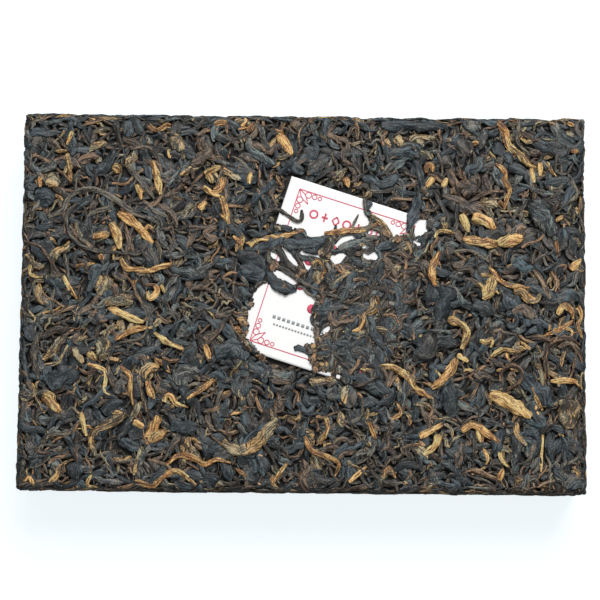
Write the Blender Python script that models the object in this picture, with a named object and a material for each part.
"""A brick of pressed dark tea leaves, with a paper ticket bedded in its upper face.

The brick lies flat, +Z up. Its origin is the middle of the flat face that it rests on. The block is
one solid out to the uneven surface of the leaves. The ticket lies in a slot just under the upper
face: windows open the slot where the paper shows, and a bank of leaves crosses the rest of it.
"""

import math

import bmesh
import bpy
from mathutils import Matrix, Vector, noise

MM = 0.001

# The block
BRICK_SIZE = Vector((142 * MM, 95 * MM, 23 * MM))
EDGE_RADIUS = 1.8 * MM
CELL = 4 * MM  # spacing of the lattice that carries the uneven surface
EDGE_ROW = 0.45  # where the extra lattice row on a rounded edge lies, as a share of its radius
RELIEF_DEPTH = 0.45 * MM  # how far clumps of leaves stand out or sink in
CLUMP_WIDTH = 9 * MM
FINE_CLUMP_WIDTH = 5 * MM
FINE_CLUMP_SHARE = 0.5
FLAT_FOOT = 2.5 * MM  # the relief fades out over this height, down to the flat base

# The ticket, whose frame has its origin at the middle of the paper, U along its top edge and V up it
TICKET_WIDTH = 37.4 * MM
TICKET_HEIGHT = 45.3 * MM
TICKET_THICKNESS = 0.35 * MM
TICKET_MIDDLE = Vector((7.9 * MM, 5 * MM))
TICKET_TURN = math.radians(-17.5)
TICKET_DEPTH = 0.75 * MM  # its upper side, below the upper face of the brick
GAP = 0.3 * MM  # clearance round the paper

# The leaves that lie across the paper stand a little proud of the rest
COVER_RISE = 0.35 * MM
COVER_REACH = 26 * MM

# Where the paper shows: outlines in the ticket's frame, in millimetres
WINDOWS = {
    "upper_window": [(-19.4, 23.3), (0.2, 23.3), (-0.1, 16.5), (-6.0, 11.2), (-11.7, 9.9), (-19.4, 13.8)],
    "right_window": [(3.5, 23.3), (12.3, 23.3), (13.3, 18.1), (10.1, 16.6), (4.2, 18.8)],
    "lower_window": [
        (-19.4, -7.5),
        (-16.8, -4.5),
        (-12.3, -6.5),
        (-7.7, -4.3),
        (-3.9, -6.5),
        (-2.8, -12.8),
        (0.5, -23.3),
        (-10.5, -23.3),
        (-19.4, -18.0),
    ],
}
RIM_DROP = 0.1 * MM  # how far the windows reach below the paper's upper side

LEAF_COLOUR = (0.045, 0.047, 0.043, 1)
PAPER_COLOUR = (0.93, 0.93, 0.92, 1)


def clear_scene():
    for obj in list(bpy.data.objects):
        bpy.data.objects.remove(obj)


def new_collection(name):
    collection = bpy.data.collections.new(name)
    bpy.context.scene.collection.children.link(collection)
    return collection


def plain_material(name, colour, roughness):
    material = bpy.data.materials.new(name)
    material.use_nodes = True
    shader = material.node_tree.nodes["Principled BSDF"]
    shader.inputs["Base Color"].default_value = colour
    shader.inputs["Roughness"].default_value = roughness
    shader.inputs["Metallic"].default_value = 0.0
    return material


def object_from(bm, name, collection):
    mesh = bpy.data.meshes.new(name)
    bm.to_mesh(mesh)
    bm.free()
    obj = bpy.data.objects.new(name, mesh)
    collection.objects.link(obj)
    return obj


def as_cutter(obj):
    obj.hide_render = True
    obj.display_type = "WIRE"
    return obj


def box_mesh(size):
    """A box of this size, centred on its own origin."""
    bm = bmesh.new()
    bmesh.ops.create_cube(bm, size=1, matrix=Matrix.Diagonal(size).to_4x4())
    return bm


def lattice_lines(length):
    """Where the lattice crosses one side of the box, measured from its middle, without the two ends."""
    straight = length / 2 - EDGE_RADIUS
    count = round(2 * straight / CELL)
    lines = [-straight + 2 * straight * i / count for i in range(count + 1)]
    row = length / 2 - EDGE_ROW * EDGE_RADIUS
    return [-row, *lines, row]


def cut_lattice(bm):
    for axis in range(3):
        normal = Vector((0, 0, 0))
        normal[axis] = 1
        for line in lattice_lines(BRICK_SIZE[axis]):
            geometry = bm.verts[:] + bm.edges[:] + bm.faces[:]
            bmesh.ops.bisect_plane(bm, geom=geometry, plane_co=normal * line, plane_no=normal)


def rounded(point):
    """The point moved onto the rounded block, and the direction that faces outwards there."""
    core = Vector(
        max(-(side / 2 - EDGE_RADIUS), min(side / 2 - EDGE_RADIUS, x))
        for x, side in zip(point, BRICK_SIZE)
    )
    outward = (point - core).normalized()
    return core + outward * EDGE_RADIUS, outward


def smooth_step(x):
    x = max(0.0, min(1.0, x))
    return x * x * (3 - 2 * x)


def clumps(point):
    """Height of the leaf clumps at a point, from about -1 to 1."""
    coarse = noise.noise(point / CLUMP_WIDTH)
    fine = noise.noise(point / FINE_CLUMP_WIDTH)
    return coarse + FINE_CLUMP_SHARE * fine


def relief(point, outward):
    """How far the uneven surface stands out from the rounded block at a point."""
    foot = smooth_step((point.z + BRICK_SIZE.z / 2) / FLAT_FOOT)
    from_ticket = (point.xy - TICKET_MIDDLE).length
    cover = COVER_RISE * smooth_step(1 - from_ticket / COVER_REACH) * max(0.0, outward.z)
    return foot * (RELIEF_DEPTH * clumps(point) + cover)


def trim_to_size(bm):
    """Stretches the block very slightly, so that it fills its length and width and is centred."""
    for axis in range(2):
        low = min(v.co[axis] for v in bm.verts)
        high = max(v.co[axis] for v in bm.verts)
        for v in bm.verts:
            v.co[axis] = ((v.co[axis] - low) / (high - low) - 0.5) * BRICK_SIZE[axis]


def make_brick(collection):
    bm = box_mesh(BRICK_SIZE)
    cut_lattice(bm)
    for v in bm.verts:
        surface, outward = rounded(v.co)
        v.co = surface + outward * relief(surface, outward)
    trim_to_size(bm)
    bmesh.ops.translate(bm, verts=bm.verts, vec=(0, 0, BRICK_SIZE.z / 2))
    bmesh.ops.recalc_face_normals(bm, faces=bm.faces)
    brick = object_from(bm, "tea_brick", collection)
    brick.data.materials.append(plain_material("pressed_leaves", LEAF_COLOUR, 0.6))
    return brick


def place_on_ticket(obj, height):
    """Turns an object into the ticket's frame, at a height above the base of the brick."""
    obj.location = (*TICKET_MIDDLE, height)
    obj.rotation_euler.z = TICKET_TURN


def make_ticket(collection):
    bm = box_mesh((TICKET_WIDTH, TICKET_HEIGHT, TICKET_THICKNESS))
    ticket = object_from(bm, "ticket", collection)
    place_on_ticket(ticket, BRICK_SIZE.z - TICKET_DEPTH - TICKET_THICKNESS / 2)
    ticket.data.materials.append(plain_material("ticket_paper", PAPER_COLOUR, 0.8))
    return ticket


def make_slot(collection):
    bm = box_mesh((TICKET_WIDTH + 2 * GAP, TICKET_HEIGHT + 2 * GAP, TICKET_THICKNESS + 2 * GAP))
    slot = object_from(bm, "ticket_slot", collection)
    place_on_ticket(slot, BRICK_SIZE.z - TICKET_DEPTH - TICKET_THICKNESS / 2)
    return as_cutter(slot)


def prism(name, outline, thickness, collection):
    """A closed mesh of a flat outline in millimetres, with its middle plane at its origin."""
    curve = bpy.data.curves.new(name, "CURVE")
    curve.dimensions = "2D"
    curve.fill_mode = "BOTH"
    curve.extrude = thickness / 2
    spline = curve.splines.new("POLY")
    spline.points.add(len(outline) - 1)
    for point, (u, v) in zip(spline.points, outline):
        point.co = (u * MM, v * MM, 0, 1)
    spline.use_cyclic_u = True
    flat = bpy.data.objects.new(name + "_curve", curve)
    collection.objects.link(flat)
    graph = bpy.context.evaluated_depsgraph_get()
    mesh = bpy.data.meshes.new_from_object(flat.evaluated_get(graph))
    bpy.data.objects.remove(flat)
    bm = bmesh.new()
    bm.from_mesh(mesh)
    bmesh.ops.remove_doubles(bm, verts=bm.verts, dist=0.00001)
    bmesh.ops.recalc_face_normals(bm, faces=bm.faces)
    return object_from(bm, name, collection)


def make_windows(collection):
    low = BRICK_SIZE.z - TICKET_DEPTH - RIM_DROP
    high = BRICK_SIZE.z + 2 * (RELIEF_DEPTH + COVER_RISE)
    windows = []
    for name, outline in WINDOWS.items():
        window = prism(name, outline, high - low, collection)
        place_on_ticket(window, (low + high) / 2)
        windows.append(as_cutter(window))
    return windows


def cut(obj, cutter):
    modifier = obj.modifiers.new(cutter.name, "BOOLEAN")
    modifier.operation = "DIFFERENCE"
    modifier.object = cutter


def main():
    clear_scene()
    parts = new_collection("tea_brick")
    cutters = new_collection("cutters")
    brick = make_brick(parts)
    make_ticket(parts)
    cut(brick, make_slot(cutters))
    for window in make_windows(cutters):
        cut(brick, window)


main()
